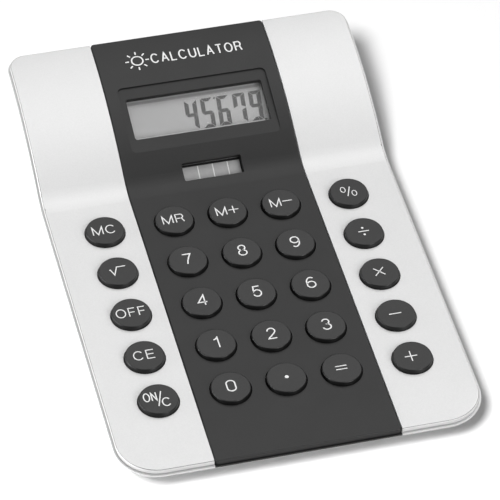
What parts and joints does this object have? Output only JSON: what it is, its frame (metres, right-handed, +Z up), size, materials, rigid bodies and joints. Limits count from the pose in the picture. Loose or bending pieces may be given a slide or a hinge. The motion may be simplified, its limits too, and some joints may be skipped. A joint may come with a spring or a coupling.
{
  "type": "desk calculator",
  "caption": "Wave-shaped desk calculator with a silver case, black centre band, sunk display, solar window and round sprung keys.",
  "frame": {"origin": "on the table, under the middle of the case's box", "axes": "+X to the user's right, +Y from the front edge to the raised rear, +Z up out of the keys"},
  "size_m": [0.105, 0.1582, 0.0252],
  "materials": {
    "silver_shell": "satin silver paint on moulded ABS",
    "black_panel": "fine-textured matte charcoal ABS",
    "silver_base": "silver-grey moulded ABS, fine spark texture",
    "key_plastic": "matte charcoal ABS keycaps",
    "clear_lens": "clear acrylic",
    "display_glass": "grey-green reflective liquid crystal display",
    "black_frame": "black ABS",
    "ribbon_foil": "amber flexible foil",
    "solar_film": "amorphous silicon on glass",
    "foam": "black foam",
    "silicone": "translucent grey silicone",
    "board_green": "green solder mask on fibre board",
    "epoxy": "black epoxy drop",
    "ceramic_tan": "ceramic capacitors",
    "steel": "zinc-plated steel",
    "cell_steel": "nickel-plated steel can",
    "contact_nickel": "nickel-plated spring strip",
    "wire_red": "red insulation",
    "wire_black": "black insulation",
    "foot_rubber": "black rubber"
  },
  "bodies": {
    "case": {"top_cover": "silver_shell", "centre_panel": "black_panel", "bottom_cover": "silver_base", "battery_cover": "silver_base", "battery_cover_screw": "steel", "case_screws": "steel", "board_screws": "steel", "display_lens": "clear_lens", "lcd_panel": "display_glass", "lcd_holder": "black_frame", "lcd_ribbon": "ribbon_foil", "solar_cell": "solar_film", "solar_gasket": "foam", "rubber_mat": "silicone", "circuit_board": "board_green", "controller_chip": "epoxy", "capacitors": "ceramic_tan", "button_cell": "cell_steel", "contact_positive": "contact_nickel", "contact_negative": "contact_nickel", "battery_wire_positive": "wire_red", "battery_wire_negative": "wire_black", "solar_wire_positive": "wire_red", "solar_wire_negative": "wire_black", "foot_front_left": "foot_rubber", "foot_front_right": "foot_rubber", "foot_rear_left": "foot_rubber", "foot_rear_right": "foot_rubber"},
    "key_mc": {"key_mc": "key_plastic"},
    "key_mr": {"key_mr": "key_plastic"},
    "key_m_plus": {"key_m_plus": "key_plastic"},
    "key_m_minus": {"key_m_minus": "key_plastic"},
    "key_percent": {"key_percent": "key_plastic"},
    "key_root": {"key_root": "key_plastic"},
    "key_7": {"key_7": "key_plastic"},
    "key_8": {"key_8": "key_plastic"},
    "key_9": {"key_9": "key_plastic"},
    "key_divide": {"key_divide": "key_plastic"},
    "key_off": {"key_off": "key_plastic"},
    "key_4": {"key_4": "key_plastic"},
    "key_5": {"key_5": "key_plastic"},
    "key_6": {"key_6": "key_plastic"},
    "key_multiply": {"key_multiply": "key_plastic"},
    "key_ce": {"key_ce": "key_plastic"},
    "key_1": {"key_1": "key_plastic"},
    "key_2": {"key_2": "key_plastic"},
    "key_3": {"key_3": "key_plastic"},
    "key_minus": {"key_minus": "key_plastic"},
    "key_on_clear": {"key_on_clear": "key_plastic"},
    "key_0": {"key_0": "key_plastic"},
    "key_point": {"key_point": "key_plastic"},
    "key_equals": {"key_equals": "key_plastic"},
    "key_plus": {"key_plus": "key_plastic"}
  },
  "joints": [
    {"name": "key_mc_press", "type": "slide", "parent": "case", "child": "key_mc", "axis": [0, 0, 1], "range_m": [-0.001, 0], "stiffness_N_per_m": 350, "springref_m": 0.001, "deforming": ["rubber_mat"]},
    {"name": "key_mr_press", "type": "slide", "parent": "case", "child": "key_mr", "axis": [0, 0, 1], "range_m": [-0.001, 0], "stiffness_N_per_m": 350, "springref_m": 0.001, "deforming": ["rubber_mat"]},
    {"name": "key_m_plus_press", "type": "slide", "parent": "case", "child": "key_m_plus", "axis": [0, 0, 1], "range_m": [-0.001, 0], "stiffness_N_per_m": 350, "springref_m": 0.001, "deforming": ["rubber_mat"]},
    {"name": "key_m_minus_press", "type": "slide", "parent": "case", "child": "key_m_minus", "axis": [0, 0, 1], "range_m": [-0.001, 0], "stiffness_N_per_m": 350, "springref_m": 0.001, "deforming": ["rubber_mat"]},
    {"name": "key_percent_press", "type": "slide", "parent": "case", "child": "key_percent", "axis": [0, 0, 1], "range_m": [-0.001, 0], "stiffness_N_per_m": 350, "springref_m": 0.001, "deforming": ["rubber_mat"]},
    {"name": "key_root_press", "type": "slide", "parent": "case", "child": "key_root", "axis": [0, 0, 1], "range_m": [-0.001, 0], "stiffness_N_per_m": 350, "springref_m": 0.001, "deforming": ["rubber_mat"]},
    {"name": "key_7_press", "type": "slide", "parent": "case", "child": "key_7", "axis": [0, 0, 1], "range_m": [-0.001, 0], "stiffness_N_per_m": 350, "springref_m": 0.001, "deforming": ["rubber_mat"]},
    {"name": "key_8_press", "type": "slide", "parent": "case", "child": "key_8", "axis": [0, 0, 1], "range_m": [-0.001, 0], "stiffness_N_per_m": 350, "springref_m": 0.001, "deforming": ["rubber_mat"]},
    {"name": "key_9_press", "type": "slide", "parent": "case", "child": "key_9", "axis": [0, 0, 1], "range_m": [-0.001, 0], "stiffness_N_per_m": 350, "springref_m": 0.001, "deforming": ["rubber_mat"]},
    {"name": "key_divide_press", "type": "slide", "parent": "case", "child": "key_divide", "axis": [0, 0, 1], "range_m": [-0.001, 0], "stiffness_N_per_m": 350, "springref_m": 0.001, "deforming": ["rubber_mat"]},
    {"name": "key_off_press", "type": "slide", "parent": "case", "child": "key_off", "axis": [0, 0, 1], "range_m": [-0.001, 0], "stiffness_N_per_m": 350, "springref_m": 0.001, "deforming": ["rubber_mat"]},
    {"name": "key_4_press", "type": "slide", "parent": "case", "child": "key_4", "axis": [0, 0, 1], "range_m": [-0.001, 0], "stiffness_N_per_m": 350, "springref_m": 0.001, "deforming": ["rubber_mat"]},
    {"name": "key_5_press", "type": "slide", "parent": "case", "child": "key_5", "axis": [0, 0, 1], "range_m": [-0.001, 0], "stiffness_N_per_m": 350, "springref_m": 0.001, "deforming": ["rubber_mat"]},
    {"name": "key_6_press", "type": "slide", "parent": "case", "child": "key_6", "axis": [0, 0, 1], "range_m": [-0.001, 0], "stiffness_N_per_m": 350, "springref_m": 0.001, "deforming": ["rubber_mat"]},
    {"name": "key_multiply_press", "type": "slide", "parent": "case", "child": "key_multiply", "axis": [0, 0, 1], "range_m": [-0.001, 0], "stiffness_N_per_m": 350, "springref_m": 0.001, "deforming": ["rubber_mat"]},
    {"name": "key_ce_press", "type": "slide", "parent": "case", "child": "key_ce", "axis": [0, 0, 1], "range_m": [-0.001, 0], "stiffness_N_per_m": 350, "springref_m": 0.001, "deforming": ["rubber_mat"]},
    {"name": "key_1_press", "type": "slide", "parent": "case", "child": "key_1", "axis": [0, 0, 1], "range_m": [-0.001, 0], "stiffness_N_per_m": 350, "springref_m": 0.001, "deforming": ["rubber_mat"]},
    {"name": "key_2_press", "type": "slide", "parent": "case", "child": "key_2", "axis": [0, 0, 1], "range_m": [-0.001, 0], "stiffness_N_per_m": 350, "springref_m": 0.001, "deforming": ["rubber_mat"]},
    {"name": "key_3_press", "type": "slide", "parent": "case", "child": "key_3", "axis": [0, 0, 1], "range_m": [-0.001, 0], "stiffness_N_per_m": 350, "springref_m": 0.001, "deforming": ["rubber_mat"]},
    {"name": "key_minus_press", "type": "slide", "parent": "case", "child": "key_minus", "axis": [0, 0, 1], "range_m": [-0.001, 0], "stiffness_N_per_m": 350, "springref_m": 0.001, "deforming": ["rubber_mat"]},
    {"name": "key_on_clear_press", "type": "slide", "parent": "case", "child": "key_on_clear", "axis": [0, 0, 1], "range_m": [-0.001, 0], "stiffness_N_per_m": 350, "springref_m": 0.001, "deforming": ["rubber_mat"]},
    {"name": "key_0_press", "type": "slide", "parent": "case", "child": "key_0", "axis": [0, 0, 1], "range_m": [-0.001, 0], "stiffness_N_per_m": 350, "springref_m": 0.001, "deforming": ["rubber_mat"]},
    {"name": "key_point_press", "type": "slide", "parent": "case", "child": "key_point", "axis": [0, 0, 1], "range_m": [-0.001, 0], "stiffness_N_per_m": 350, "springref_m": 0.001, "deforming": ["rubber_mat"]},
    {"name": "key_equals_press", "type": "slide", "parent": "case", "child": "key_equals", "axis": [0, 0, 1], "range_m": [-0.001, 0], "stiffness_N_per_m": 350, "springref_m": 0.001, "deforming": ["rubber_mat"]},
    {"name": "key_plus_press", "type": "slide", "parent": "case", "child": "key_plus", "axis": [0, 0, 1], "range_m": [-0.001, 0], "stiffness_N_per_m": 350, "springref_m": 0.001, "deforming": ["rubber_mat"]}
  ]
}
